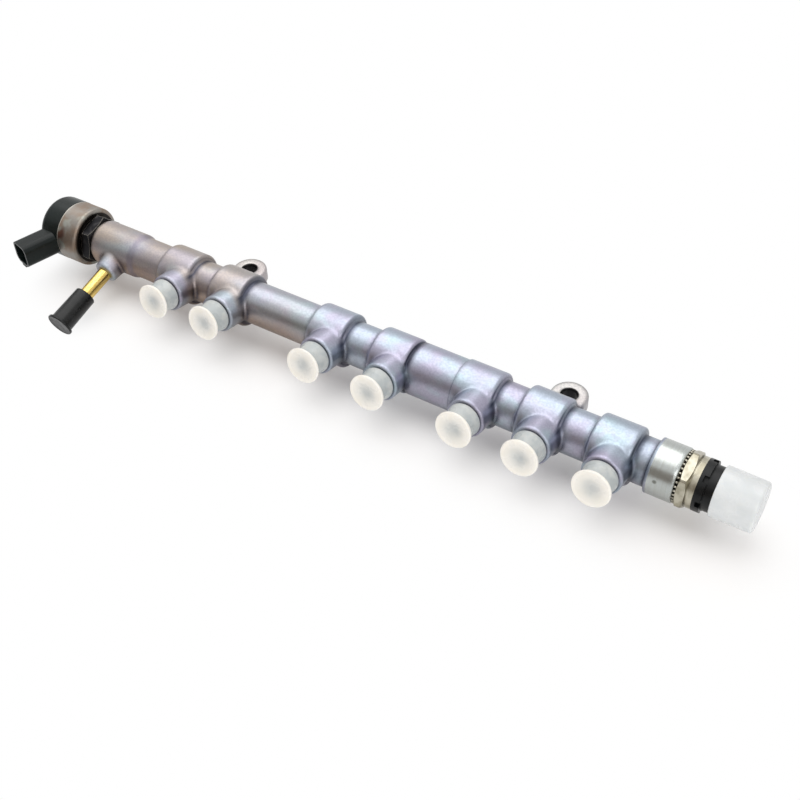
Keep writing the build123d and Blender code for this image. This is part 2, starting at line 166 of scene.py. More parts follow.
def from_axis(add, place):
    """Distance from the rail's axis: the length of (0, y - the axis's y, z - the axis's z)."""
    offset = add("VectorMath", place, (0, RAIL_AXIS.y, RAIL_AXIS.z), operation="SUBTRACT")
    return add("VectorMath", add("VectorMath", offset, (0, 1, 1), **TIMES), operation="LENGTH")


# ---------------------------------------------------------------- surfaces

def rounded(corners, radii, steps=6):
    """A profile with each inner corner replaced by an arc tangent to both of its runs: the arc
    starts and ends at radius * tan(half the turn) from the corner."""
    corners = np.asarray(corners, float)
    out = [corners[:1]]
    for before, here, after, radius in zip(corners, corners[1:], corners[2:], radii):
        if radius <= 0:
            out.append(here[None])
            continue
        first = (before - here) / np.linalg.norm(before - here)
        second = (after - here) / np.linalg.norm(after - here)
        half = np.arccos(np.clip(first @ second, -1, 1)) / 2
        run = radius / np.tan(half)
        centre = here + (first + second) / np.linalg.norm(first + second) * radius / np.sin(half)
        start, end = here + first * run - centre, here + second * run - centre
        turn = np.arctan2(start[0] * end[1] - start[1] * end[0], start @ end)
        t = np.linspace(0, turn, steps)
        out.append(centre + np.stack([start[0] * np.cos(t) - start[1] * np.sin(t),
                                      start[0] * np.sin(t) + start[1] * np.cos(t)], 1))
    return np.concatenate(out + [corners[-1:]])


def turned(profile, count=96, radius_of=None):
    """Profile (station, radius) carried round its line: at turn a the point is
    (station, radius cos a, radius sin a), where radius_of(station, radius, a) may change the
    radius.  Returns a grid of rows x count x 3."""
    station, radius = np.asarray(profile, float).T
    a = np.linspace(0, 2 * pi, count, endpoint=False)
    r = np.repeat(radius[:, None], count, 1)
    if radius_of is not None:
        r = radius_of(station[:, None], r, a[None, :])
    return np.stack([np.repeat(station[:, None], count, 1), r * np.cos(a), r * np.sin(a)], 2)


def set_on(grid, origin, direction, up=(0, 0, 1)):
    """A grid turned round +X and measured in millimetres, moved so that its line leaves origin
    (metres) in that direction."""
    x = np.array(Vector(direction).normalized())
    y = np.cross(up, x)
    y /= np.linalg.norm(y)
    z = np.cross(x, y)
    return np.array(origin) + (grid * MM) @ np.stack([x, y, z])


def into_scene(name, data):
    """An object of that mesh, lamp or camera, linked to the scene."""
    thing = bpy.data.objects.new(name, data)
    bpy.context.scene.collection.objects.link(thing)
    return thing


def skin(name, grid, material, loop=False):
    """Makes an object from a grid whose columns close round.  Its rows close too if loop, and
    otherwise the first and last row are poles, each drawn together to one point."""
    rows, cols = grid.shape[:2]
    i = np.arange(cols)
    j = (i + 1) % cols
    if loop:
        points = grid.reshape(-1, 3)
        r = np.arange(rows)[:, None]
        s = (r + 1) % rows
        faces = np.stack([r * cols + i, r * cols + j, s * cols + j, s * cols + i], 2)
        faces = faces.reshape(-1, 4).tolist()
    else:
        ends = grid[[0, -1]].mean(1)
        points = np.concatenate([grid[1:-1].reshape(-1, 3), ends])
        r = np.arange(rows - 3)[:, None]
        quads = np.stack([r * cols + i, r * cols + j, (r + 1) * cols + j, (r + 1) * cols + i], 2)
        last = (rows - 3) * cols
        first_pole = (rows - 2) * cols
        caps = [np.stack([np.full(cols, first_pole), j, i], 1),
                np.stack([np.full(cols, first_pole + 1), last + i, last + j], 1)]
        faces = quads.reshape(-1, 4).tolist() + np.concatenate(caps).tolist()
    mesh = bpy.data.meshes.new(name)
    mesh.from_pydata(points.tolist(), [], faces)
    mesh.validate()
    if signed_volume(mesh) < 0:
        mesh.flip_normals()
    mesh.shade_smooth()
    mesh.materials.append(material)
    return into_scene(name, mesh)


def signed_volume(mesh):
    """Volume from the sum of a . (b x c) / 6 over the mesh's triangles: negative inside out."""
    mesh.calc_loop_triangles()
    index = np.zeros(len(mesh.loop_triangles) * 3, np.int32)
    mesh.loop_triangles.foreach_get("vertices", index)
    points = np.zeros(len(mesh.vertices) * 3)
    mesh.vertices.foreach_get("co", points)
    a, b, c = points.reshape(-1, 3)[index.reshape(-1, 3)].transpose(1, 0, 2)
    return float(np.einsum("ij,ij->", a, np.cross(b, c)) / 6)


def dress(material, *nodes):
    """Gives a material to CAD nodes."""
    for name in nodes:
        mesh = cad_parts[name].data
        mesh.materials.clear()
        mesh.materials.append(material)


def fit(thing, slot, *nodes):
    """A finished piece rides on the part and stands for nodes, which it hides.  Its slot is not
    used.
    """
    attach(thing, "root")
    if nodes:
        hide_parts(*nodes)


# ---------------------------------------------------------------- sizes and colours

class FuelRailFinish(bpy.types.PropertyGroup):
    """Colours and sizes of the dressed rail."""
    coat: bpy.props.FloatVectorProperty(
        name="Coat", description="Passivated zinc on the forging", subtype="COLOR", size=3,
        min=0, max=1, default=linear("a3acb8"))
    coat_violet: bpy.props.FloatVectorProperty(
        name="Violet bloom", description="Violet patches of the passivation", subtype="COLOR",
        size=3, min=0, max=1, default=linear("a29fb0"))
    coat_warm: bpy.props.FloatVectorProperty(
        name="Warm bloom", description="Straw patches towards the valve end", subtype="COLOR",
        size=3, min=0, max=1, default=linear("a3978c"))
    bare_steel: bpy.props.FloatVectorProperty(
        name="Bare steel", description="Machined land at the sensor end", subtype="COLOR", size=3,
        min=0, max=1, default=linear("b3b7b5"))
    cap_white: bpy.props.FloatVectorProperty(
        name="Cap white", description="Moulded port caps", subtype="COLOR", size=3,
        min=0, max=1, default=linear("f6f5ef"))
    cap_dish: bpy.props.FloatProperty(
        name="Cap dish", description="Depth of the dish in a port cap's face", default=1.2 * MM,
        min=0, max=1.4 * MM, unit="LENGTH")
    port_rise: bpy.props.FloatProperty(
        name="Port rise", description="Angle of the ports above the ears' plane",
        default=radians(11), subtype="ANGLE")
    pipe_drop: bpy.props.FloatProperty(
        name="Return pipe drop", description="Angle of the return pipe below the ears' plane",
        default=radians(13), subtype="ANGLE")


class FuelRailStudio(bpy.types.PropertyGroup):
    """Floor, lamps and camera."""
    key_power: bpy.props.FloatProperty(
        name="Key power", description="Power of the lamp overhead", default=8.7, min=0,
        unit="POWER")
    fill_power: bpy.props.FloatProperty(
        name="Fill power", description="Power of the lamp beside the camera", default=9, min=0,
        unit="POWER")
    floor_colour: bpy.props.FloatVectorProperty(
        name="Floor", description="Colour of the floor", subtype="COLOR", size=3, min=0, max=1,
        default=linear("fafafa"))
    view_angle: bpy.props.FloatProperty(
        name="View angle", description="The camera's angle of view", default=radians(39.774),
        subtype="ANGLE")


# ---------------------------------------------------------------- finishes
#
# A noise's Scale is 1000 / its lump size in millimetres.

def forged_coat(look):
    """Forged steel, shot-blasted, zinc plated and passivated: a satin blue-grey metal with
    violet, cyan and straw patches and a bare turned land.  Painted onto it are a brown on the
    underside towards the valve end, which stands in for the warm, shaded floor that it reflects,
    and dark shade in its corners, at its step and in its bolt holes."""
    material, add, shader, place = new_finish("zinc_plated_forging")
    x, y, z = add("SeparateXYZ", place).outputs
    radius = from_axis(add, place)
    violet = add("MapRange", add("TexNoise", place, 1000 / 26, 2), 0.42, 0.62, **SMOOTH)
    long_lumps = add("Mapping", place, Scale=(0.6, 1, 1))
    cyan = add("MapRange", add("TexNoise", long_lumps, 1000 / 17, 2), 0.5, 0.68, 0, 0.7, **SMOOTH)
    small = add("MapRange", add("TexNoise", place, 1000 / 7, 2), 0.5, 0.66, 0, 0.4, **SMOOTH)
    # straw bloom grows towards the valve end, on the tube and not on the ports
    longer_lumps = add("Mapping", place, Scale=(0.5, 1, 1))
    straw = add("MapRange", add("TexNoise", longer_lumps, 1000 / 30, 2), 0.38, 0.56, 0.3, 1.0,
                **SMOOTH)
    near_tube = add("MapRange", radius, 16 * MM, 20 * MM, 1.0, 0.2, **SMOOTH)
    straw = add("Math", add("Math", straw, near_tube, **TIMES),
                add("MapRange", x, 0.0, -0.13, **SMOOTH), **TIMES)
    # painted shade and reflection: a brown on the tube's underside towards the valve end, which
    # stands in for the warm, shaded floor that it reflects
    low = add("MapRange", z, RAIL_AXIS.z + 12 * MM, RAIL_AXIS.z - 3 * MM, 0, 0.85, **SMOOTH)
    towards_valve = add("MapRange", x, 0.0, -0.06, 0.1, 1.0, **SMOOTH)
    on_tube = add("MapRange", radius, 13.6 * MM, 16.5 * MM, 1.0, 0.15, **SMOOTH)
    underside_warm_shade = add("Math", add("Math", low, towards_valve, **TIMES), on_tube, **TIMES)
    # painted shade: a dark violet-grey band where the valve end steps down to the neck
    from_step = add("Math", add("Math", x, STEP_X, operation="SUBTRACT"), operation="ABSOLUTE")
    step_shade = add("MapRange", from_step, 0.5 * MM, 3.5 * MM, 0.55, 0.0, **SMOOTH)
    # both ears at once, because |x| folds one on the other
    folded = add("CombineXYZ", add("Math", x, operation="ABSOLUTE"), y)
    from_hole = add("VectorMath", folded, (EAR_SPACING / 2, 0, 0), **APART)
    on_ear = add("MapRange", from_hole, 8 * MM, 14 * MM, 0.7, 0.0, **SMOOTH)
    # painted shade: near-black on the walls of the ears' bolt holes
    hole_shade = add("MapRange", from_hole, EAR_HOLE_R + 0.1 * MM, EAR_HOLE_R + 0.5 * MM, 0.92, 0.0,
                  **SMOOTH)
    # blast grit is about 0.3 mm, drawn at 1 mm so that it shows
    grit = add("TexNoise", place, 1000, 4)
    pitted = add("MapRange", grit, 0.3, 0.7, 0, 0.24, **SMOOTH)
    # painted shade: dark in narrow corners, found by ambient occlusion, in a band just past each
    # block's end towards the sensor, and near corners on the underside
    corner = add("AmbientOcclusion", Distance=5 * MM, samples=16, only_local=True).outputs["AO"]
    ramp = add("ValToRGB", add("MapRange", x, ROOTS_FROM, ROOTS_TO))
    stops = ramp.color_ramp.elements
    stops[1].color = (0, 0, 0, 1)
    for node, end in zip(PORT_CAPS, BLOCK_ENDS):
        for step, dark in ((-0.3, 0), (0.4, 1), (1.7, 1), (4.4, 0)):
            root = middle(node).x + (end + step) * MM
            stop = stops.new((root - ROOTS_FROM) / (ROOTS_TO - ROOTS_FROM))
            stop.color = (dark, dark, dark, 1)
    behind = add("Math", ramp, add("MapRange", radius, 14 * MM, 19 * MM, 0.93, 0.0, **SMOOTH),
                 **TIMES)
    tight = add("MapRange", corner, 0.55, 0.95, 0.9, 0.0, **SMOOTH)
    underside = add("MapRange", z, RAIL_AXIS.z + 8 * MM, RAIL_AXIS.z + 1 * MM, **SMOOTH)
    underside_corner_shade = add("Math", add("MapRange", corner, 0.72, 0.98, 0.92, 0.0, **SMOOTH), underside,
                  **TIMES)
    corner_shade = add("Math", add("Math", tight, behind, **LARGER), underside_corner_shade, **LARGER)
    # the land is bare: rings 0.1 mm apart from the lathe, drawn at 0.7 mm so that they show
    land = add("MapRange", x, LAND_X - 0.1 * MM, LAND_X + 0.1 * MM, **SMOOTH)
    lathe = add("TexNoise", add("Mapping", place, Scale=(1, 0.01, 0.01)), 1000 / 0.7, 2)
    steel = add("Mix", add("MapRange", lathe, 0.35, 0.65, 0, 0.3, **SMOOTH),
                tuple(look.bare_steel), linear("a3a49c"), **COLOURS)
    # a centre-punch dimple drawn flat as a dark dot: the shade in it is painted
    punch_dot_shade = add("MapRange", add("VectorMath", place, PUNCH_DOT, **APART), 0.5 * MM, 1.4 * MM,
                  0.7, 0.0, **SMOOTH)
    steel = add("Mix", punch_dot_shade, steel, linear("4c4a3e"), **COLOURS)
    colour = tuple(look.coat)
    for amount, over in ((violet, tuple(look.coat_violet)), (cyan, linear("a3b7bd")),
                         (small, linear("aaa3b6")), (straw, tuple(look.coat_warm)),
                         (underside_warm_shade, linear("98806c")), (step_shade, linear("6f6876")),
                         (on_ear, linear("b5aca2")), (pitted, linear("6d7282")),
                         (corner_shade, linear("2f3342")), (hole_shade, linear("1a1a1d")), (land, steel)):
        colour = add("Mix", amount, colour, over, **COLOURS)
    blasted = add("Math", add("MapRange", grit, 0.3, 0.7, 0.33, 0.42, **SMOOTH),
                  add("MapRange", x, -0.1, -0.16, 0, 0.1, **SMOOTH), operation="ADD")
    bumps = add("Bump", Height=add("Mix", land, grit, 0.5), Distance=0.045 * MM,
                Normal=add("Bevel", 3 * MM, samples=8))
    feed(shader, Base_Color=colour, Metallic=1.0, Roughness=add("Mix", land, blasted, 0.27),
         Normal=bumps)
    return material


def turned_steel(name, colour, shade, roughness=0.25, ring_mm=0.35):
    """Turned steel: rings round the rail's axis, which spread the highlights.  They are about
    0.1 mm apart, and are drawn at ring_mm so that they show."""
    material, add, shader, place = new_finish(name)
    rings = add("TexNoise", add("Mapping", place, Scale=(1, 0.01, 0.01)), 1000 / ring_mm, 2)
    mottle = add("MapRange", add("TexNoise", place, 1000 / 5, 3), 0.35, 0.65, 0, 0.7, **SMOOTH)
    feed(shader, Base_Color=add("Mix", mottle, linear(colour), linear(shade), **COLOURS),
         Metallic=1.0, Roughness=add("MapRange", rings, 0.3, 0.7, roughness - 0.04,
                                     roughness + 0.06, **SMOOTH),
         Normal=add("Bump", Height=rings, Distance=0.012 * MM))
    return material


def moulded_plastic(name, colour, shade, roughness=0.4, grain_mm=0.6, level=0.5):
    """Injection-moulded plastic: even colour, faint flow marks and a fine spark-eroded grain."""
    material, add, shader, place = new_finish(name)
    flow = add("TexNoise", add("Mapping", place, Scale=(1, 0.5, 1)), 1000 / 9, 3)
    grain = add("TexNoise", place, 1000 / grain_mm, 3)
    marks = add("MapRange", flow, 0.35, 0.65, **SMOOTH)
    feed(shader, Base_Color=add("Mix", marks, linear(colour), linear(shade), **COLOURS),
         IOR=1.5, Specular_IOR_Level=level,
         Roughness=add("MapRange", flow, 0.3, 0.7, roughness - 0.05, roughness + 0.05, **SMOOTH),
         Normal=add("Bump", Height=grain, Distance=0.015 * MM))
    return material


def polythene(name, colour, shade, roughness, thin=None):
    """Low-density polythene: waxy and milky, so light enters it and comes out softened.  Where the
    attribute thin says so, painted shade greys it: it stands in for the dark inside seen through a
    thin wall and for the shade in a cap's dish."""
    material, add, shader, place = new_finish(name)
    cloud = add("TexNoise", place, 1000 / 6, 2)
    tint = add("Mix", add("MapRange", cloud, 0.35, 0.65, 0, 0.6, **SMOOTH), colour,
               linear(shade), **COLOURS)
    if thin is not None:
        # painted shade: the grey, weighted by the attribute thin and a streak noise
        wall = add("Attribute", attribute_name="thin").outputs["Fac"]
        streak = add("MapRange", add("TexNoise", place, 1000 / 5, 2), 0.4, 0.65, 0.8, 1.0,
                     **SMOOTH)
        tint = add("Mix", add("Math", wall, streak, **TIMES), tint, linear(thin), **COLOURS)
    feed(shader, Base_Color=tint, IOR=1.51, Subsurface_Weight=0.35, Subsurface_Scale=1.5 * MM,
         Subsurface_Radius=(1.0, 0.95, 0.85),
         Roughness=add("MapRange", cloud, 0.3, 0.7, roughness - 0.06, roughness + 0.06, **SMOOTH),
         Normal=add("Bump", Height=add("TexNoise", place, 1000 / 1.2, 3), Distance=0.015 * MM))
    return material


def rubber():
    """Moulded rubber: black and smooth, dusty in patches."""
    material, add, shader, place = new_finish("moulded_rubber")
    dust = add("TexNoise", place, 1000 / 3, 4)
    feed(shader, Base_Color=add("Mix", add("MapRange", dust, 0.5, 0.75, 0, 0.5, **SMOOTH),
                                linear("070808"), linear("1c1e1f"), **COLOURS),
         IOR=1.52, Specular_IOR_Level=0.3,
         Roughness=add("MapRange", dust, 0.3, 0.7, 0.26, 0.4, **SMOOTH),
         Normal=add("Bump", Height=add("TexNoise", place, 1000 / 0.8, 3), Distance=0.02 * MM))
    return material


def brass():
    """Drawn brass pipe: pale gold with faint draw lines along it."""
    material, add, shader, place = new_finish("drawn_brass")
    lines = add("TexNoise", add("Mapping", place, Scale=(1, 0.05, 1)), 1000 / 0.4, 2)
    feed(shader, Base_Color=add("Mix", add("MapRange", lines, 0.35, 0.65, **SMOOTH),
                                linear("e6cd84"), linear("cfae58"), **COLOURS),
         Metallic=1.0, Roughness=add("MapRange", lines, 0.3, 0.7, 0.14, 0.22, **SMOOTH),
         Normal=add("Bump", Height=lines, Distance=0.006 * MM))
    return material


def valve_can_steel():
    """Drawn steel can, phosphated and oiled: a dull warm grey with rust-brown and grey-green
    stains, a painted highlight on its rim, and painted shade on the shoulder that faces the nut."""
    material, add, shader, place = new_finish("phosphated_can")
    x = add("SeparateXYZ", place).outputs[0]
    can_end, cover_end = (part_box(node)[1].x for node in ("valve_can", "valve_cover"))
    stain = add("TexNoise", place, 1000 / 13, 3)
    # the smear's edge is drawn in and out by the stain, up to 8 mm
    smear = add("Math", stain, 8 * MM, add("VectorMath", place, CAN_SMEAR, **APART),
                operation="MULTIPLY_ADD")
    # painted shade: near-black on the can's shoulder that faces the nut, in the gap between them
    shoulder = add("MapRange", x, can_end - 1.2 * MM, can_end - 0.6 * MM, **SMOOTH)
    inner = add("MapRange", from_axis(add, place), 15.6 * MM, 15.1 * MM, 0, 0.95, **SMOOTH)
    tint = linear("8b8680")
    for amount, over in (
            (add("MapRange", stain, 0.4, 0.6, **SMOOTH), "857568"),
            (add("MapRange", smear, 6.5 * MM, 9.5 * MM, 0.8, 0.0, **SMOOTH), "5c3a30"),
            (add("MapRange", add("TexNoise", place, 1000 / 8, 2), 0.55, 0.75, 0, 0.7, **SMOOTH),
             "a3a8a0"),
            # painted highlight: a pale band on the can's rim beside the cover
            (add("MapRange", x, cover_end + 0.3 * MM, cover_end + 0.9 * MM, 0.8, 0.0, **SMOOTH),
             "c4c0b8"),
            (add("Math", shoulder, inner, **TIMES), "1c1a18")):
        tint = add("Mix", amount, tint, linear(over), **COLOURS)
    feed(shader, Base_Color=tint, Metallic=1.0,
         Roughness=add("MapRange", stain, 0.3, 0.7, 0.42, 0.52, **SMOOTH),
         Normal=add("Bump", Height=add("TexNoise", place, 1000 / 0.9, 3), Distance=0.02 * MM))
    return material


def black_oxide():
    """Steel blackened in an oxide bath: near-black, semi-bright, paler where handled, and rubbed
    bright within 0.5 mm of its edges."""
    material, add, shader, place = new_finish("black_oxide_steel")
    wear = add("TexNoise", place, 1000 / 4, 4)
    # near an edge the rounded normal leaves the plain one
    agree = add("VectorMath", add("Bevel", 0.5 * MM, samples=8),
                add("NewGeometry").outputs["Normal"], operation="DOT_PRODUCT")
    tint = add("Mix", add("MapRange", wear, 0.5, 0.75, **SMOOTH), linear("1d1d1f"),
               linear("3b3a3b"), **COLOURS)
    tint = add("Mix", add("MapRange", agree, 0.9, 0.985, 0.75, 0.0, **SMOOTH), tint,
               linear("9c978e"), **COLOURS)
    feed(shader, Base_Color=tint, Metallic=1.0,
         Roughness=add("MapRange", wear, 0.3, 0.7, 0.3, 0.42, **SMOOTH),
         Normal=add("Bump", Height=add("TexNoise", place, 1000 / 0.6, 3), Distance=0.015 * MM))
    return material


def serrated_steel():
    """Stamped spring steel: a painted highlight on the tips of its teeth and painted shade between
    them, and patches of oil.
    """
    material, add, shader, place = new_finish("serrated_steel")
    # painted highlight on the tips and painted shade in the gaps between the teeth
    tips = add("MapRange", from_axis(add, place), 12.9 * MM, 13.5 * MM, **SMOOTH)
    oil = add("TexNoise", place, 1000 / 2, 3)
    feed(shader, Base_Color=add("Mix", tips, linear("1b1916"), linear("b0ac9f"), **COLOURS),
         Metallic=1.0, Roughness=add("MapRange", oil, 0.3, 0.7, 0.25, 0.4, **SMOOTH),
         Normal=add("Bump", Height=oil, Distance=0.01 * MM))
    return material


def enamelled_wire():
    """Copper wire in enamel, wound in a coil: turns 0.5 mm apart show as fine ridges.  A wave of
    scale 1 repeats every 1/20 of a metre, so the scale is 1000 / 0.5 / 20."""
    material, add, shader, place = new_finish("enamelled_copper_wire")
    turns = add("TexWave", place, 1000 / 0.5 / 20, bands_direction="X").outputs["Fac"]
    # painted shade: darker copper in the grooves between the turns and lighter on their crests
    feed(shader, Base_Color=add("Mix", turns, linear("8a3f1d"), linear("c8713a"), **COLOURS),
         Metallic=1.0, Roughness=0.3, Coat_Weight=0.5,
         Normal=add("Bump", Height=turns, Distance=0.1 * MM))
    return material


def glass_fibre_board():
    """Circuit board laminate: green lacquer over a woven glass cloth of 0.5 mm pitch."""
    material, add, shader, place = new_finish("glass_fibre_board")
    weave = add("TexChecker", place, Scale=1000 / 0.5).outputs["Fac"]
    feed(shader, Base_Color=add("Mix", weave, linear("1f5a38"), linear("276a43"), **COLOURS),
         IOR=1.5, Roughness=0.3, Normal=add("Bump", Height=weave, Distance=0.02 * MM))
    return material


# ---------------------------------------------------------------- pieces

def port_cap_section(start, end, wide, dish):
    """Section of a port cap, in millimetres from the rail's axis along the port: the bore from
    its blind end out to the mouth, a skirt that narrows to a waist, a flange with a rolled rim,
    and a face of radius R that sinks by dish * (1 + cos(pi r / R)) / 2 inside that rim.  Beside
    it, thin, the weight of a painted shade: 1 on the skirt, where the dark nose would show
    through, and 0.1 + 0.8 * (1 - (r / R)^2)^2.5 on the face, greyest in the middle of the dish."""
    bore = wide - 2.87
    skirt = wide - 0.95
    waist = wide - 2.35
    dished = wide - 1.8
    floor = end - 1.87
    run = rounded([(floor, 0.0), (floor, bore), (start + 0.4, bore + 0.1),
                   (start + 0.4, skirt), (start + 1.9, skirt - 0.1), (end - 3.2, waist + 0.05),
                   (end - 2.2, waist), (end - 1.7, wide), (end, wide), (end - 0.4, dished)],
                  [0.1, 0.3, 0.4, 2.0, 1.2, 0.4, 0.75, 0.75], 7)
    r = np.linspace(dished, 0.0, 16)[1:]
    face = np.stack([end - 0.4 - dish * (0.5 + 0.5 * np.cos(pi * r / dished)), r], 1)
    # thin: the weight of the painted shade on the skirt and the face
    thin = np.concatenate([np.clip((end - 1.9 - run[:, 0]) / 1.2, 0, 1),
                           0.1 + 0.8 * (1 - (r / dished) ** 2) ** 2.5])
    return np.concatenate([run, face]), thin


def rubber_cap_section(start, end, wide, pipe_end, pipe_r):
    """Section of the rubber cap, in millimetres along the return pipe: the hole that holds the
    pipe, from its blind end to the mouth, a sleeve whose radius grows by 0.4, and an end flange
    with a shallow hollow."""
    return rounded([(pipe_end + 0.8, 0.0), (pipe_end + 0.8, pipe_r), (start, pipe_r),
                    (start, wide - 1.9), (start + 12.0, wide - 1.7), (end - 2.0, wide - 1.5),
                    (end - 1.7, wide - 0.3), (end, wide - 0.3), (end - 0.4, wide - 1.9),
                    (end - 0.7, 0.0)], [0.3, 0.4, 0.6, 5.0, 0.4, 0.45, 0.6, 0.5])


def sensor_cap_section(length, outer):
    """Section of the sensor's cap, in millimetres from its mouth: a blind bore with a wall of
    2.3, a side whose radius falls by 0.3, and an end that dips by 0.4 at radius 7."""
    return rounded([(length - 1.9, 0), (length - 1.9, outer - 2.3), (0, outer - 2.3), (0, outer),
                    (length, outer - 0.3), (length - 0.4, 7), (length, 0)],
                   [0.8, 0.3, 0.6, 1.8, 6, 0])


def lock_ring(teeth=36, tip=13.5, inside=12.3, depth=0.9):
    """Lock ring, in millimetres from the rail's end: a section 1.25 long from inside to tip,
    turned once round.  Its outer radius falls by depth wherever sin(teeth * turn) > -0.1."""
    section = [(0.1, inside), (0.1, tip), (1.35, tip), (1.35, inside)]
    return turned(section, 360,
                  lambda s, r, a: r - depth * (r == tip) * (np.sin(teeth * a) > -0.1))


class FUELRAIL_OT_port_caps(bpy.types.Operator):
    """Make the seven transit caps on the ports"""
    bl_idname = "fuelrail.port_caps"
    bl_label = "Port caps"

    def execute(self, context):
        look = context.scene.fuel_rail_finish
        # b4bcbe is the grey of the painted shade on the skirt and in the dish
        material = polythene("moulded_polythene", tuple(look.cap_white), "f1efe6", 0.3, "b4bcbe")
        direction = (0, -cos(look.port_rise), sin(look.port_rise))
        for node in PORT_CAPS:
            origin = (middle(node).x, RAIL_AXIS.y, RAIL_AXIS.z)
            start, end, wide = reach(node, origin, direction)
            section, thin = port_cap_section(start, end, wide, look.cap_dish / MM)
            grid = turned(section)
            thing = skin(node + "_moulded", set_on(grid, origin, direction), material)
            # each point's weight of that painted shade
            wall = np.append(np.repeat(thin[1:-1], grid.shape[1]), thin[[0, -1]])
            thing.data.attributes.new("thin", "FLOAT", "POINT").data.foreach_set("value", wall)
            fit(thing, "port_cap_plastic", node)
        return {"FINISHED"}


class FUELRAIL_OT_return_pipe(bpy.types.Operator):
    """Finish the brass return pipe and make the rubber cap on it"""
    bl_idname = "fuelrail.return_pipe"
    bl_label = "Return pipe"

    def execute(self, context):
        look = context.scene.fuel_rail_finish
        dress(brass(), "return_nipple")
        direction = (0, -cos(look.pipe_drop), -sin(look.pipe_drop))
        origin = (middle("nipple_cap").x, RAIL_AXIS.y, RAIL_AXIS.z)
        start, end, wide = reach("nipple_cap", origin, direction)
        pipe_end, pipe_r = reach("return_nipple", origin, direction)[1:]
        outside = rubber_cap_section(start, end, wide, pipe_end, pipe_r)
        grid = set_on(turned(outside), origin, direction)
        fit(skin("pipe_cap_moulded", grid, rubber()), "cap_rubber", "nipple_cap")
        return {"FINISHED"}


class FUELRAIL_OT_forging(bpy.types.Operator):
    """Finish the forged rail"""
    bl_idname = "fuelrail.forging"
    bl_label = "Forging"

    def execute(self, context):
        dress(forged_coat(context.scene.fuel_rail_finish), "rail_body")
        return {"FINISHED"}


class FUELRAIL_OT_valve(bpy.types.Operator):
    """Finish the pressure valve, its head and what is inside it"""
    bl_idname = "fuelrail.valve"
    bl_label = "Pressure valve"

    def execute(self, context):
        dress(valve_can_steel(), "valve_can")
        dress(black_oxide(), "valve_nut")
        dress(moulded_plastic("glass_filled_nylon", "0a1110", "111a19", 0.34, 1.2, 0.22),
              "valve_cover")
        dress(turned_steel("ground_steel", "c4c4c4", "a9a9ac", 0.2), "valve_stem", "valve_seat",
              "valve_ball", "valve_armature")
        dress(turned_steel("spring_wire", "9c9ca2", "85858c", 0.3, 0.2), "valve_spring")
        dress(moulded_plastic("bobbin_nylon", "d9d2bf", "cfc7b2", 0.45), "valve_bobbin")
        dress(enamelled_wire(), "valve_coil")
        dress(turned_steel("tinned_brass", "d8d6cc", "c4c1b4", 0.25), "valve_terminal_1",
              "valve_terminal_2")
        return {"FINISHED"}


class FUELRAIL_OT_sensor(bpy.types.Operator):
    """Finish the pressure sensor and make its milky cap"""
    bl_idname = "fuelrail.sensor"
    bl_label = "Pressure sensor"

    def execute(self, context):
        dress(turned_steel("passivated_steel", "bab5a5", "88826f", 0.32), "sensor_body")
        dress(turned_steel("soft_copper", "c98a63", "b87a54", 0.3), "sensor_seal")
        dress(turned_steel("diaphragm_steel", "c6c6c6", "b0b0b2", 0.2), "sensor_cell")
        dress(moulded_plastic("black_nylon", "0a0b0c", "111314", 0.34, 0.6, 0.25),
              "sensor_connector")
        dress(glass_fibre_board(), "sensor_board")
        dress(turned_steel("tin_plate", "d8d6cc", "c4c1b4", 0.25), "sensor_contact_1",
              "sensor_contact_2", "sensor_contact_3")
        low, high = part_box("sensor_cap")
        length = (high.x - low.x) / MM
        outer = (high.z - low.z) / MM / 2
        grid = set_on(turned(sensor_cap_section(length, outer), 128),
                      (low.x, RAIL_AXIS.y, RAIL_AXIS.z), (1, 0, 0))
        white = polythene("milky_polythene", linear("dfe4e6"), "d2d9dc", 0.3)
        fit(skin("sensor_cap_moulded", grid, white), "milky_plastic", "sensor_cap")
        # round the neck between the rail and the sensor's hexagon
        grid = set_on(lock_ring(), (SENSOR_END, RAIL_AXIS.y, RAIL_AXIS.z), (1, 0, 0))
        fit(skin("sensor_lock_ring", grid, serrated_steel(), loop=True), "turned_steel")
        return {"FINISHED"}


class FUELRAIL_OT_studio(bpy.types.Operator):
    """Make the floor, the lamps and the camera"""
    bl_idname = "fuelrail.studio"
    bl_label = "Studio"

    def execute(self, context):
        room = context.scene.fuel_rail_studio
        context.scene.view_settings.view_transform = "Standard"
        make_floor(room)
        make_card()
        make_world(context.scene)
        add_lamp("key_lamp", room.key_power, (1.2, 1.35), (-0.27, 0.27, 0.98))
        add_lamp("fill_lamp", room.fill_power, (1.0, 1.0), (0.95, -0.95, 0.75))
        make_camera(context.scene, room)
        return {"FINISHED"}


def seen_plainly(add):
    """1 for a ray from the camera, off metal or through plastic, and 0 for any other ray."""
    path = add("LightPath").outputs
    direct = add("Math", path["Is Camera Ray"], path["Is Glossy Ray"], **LARGER)
    return add("Math", direct, path["Is Transmission Ray"], **LARGER)


def stage_sheet(name, corners, material):
    """A flat four-cornered piece of the stage."""
    mesh = bpy.data.meshes.new(name)
    mesh.from_pydata(corners, [], [(0, 1, 2, 3)])
    mesh.materials.append(material)
    sheet = into_scene(name, mesh)
    sheet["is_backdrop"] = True
    return sheet


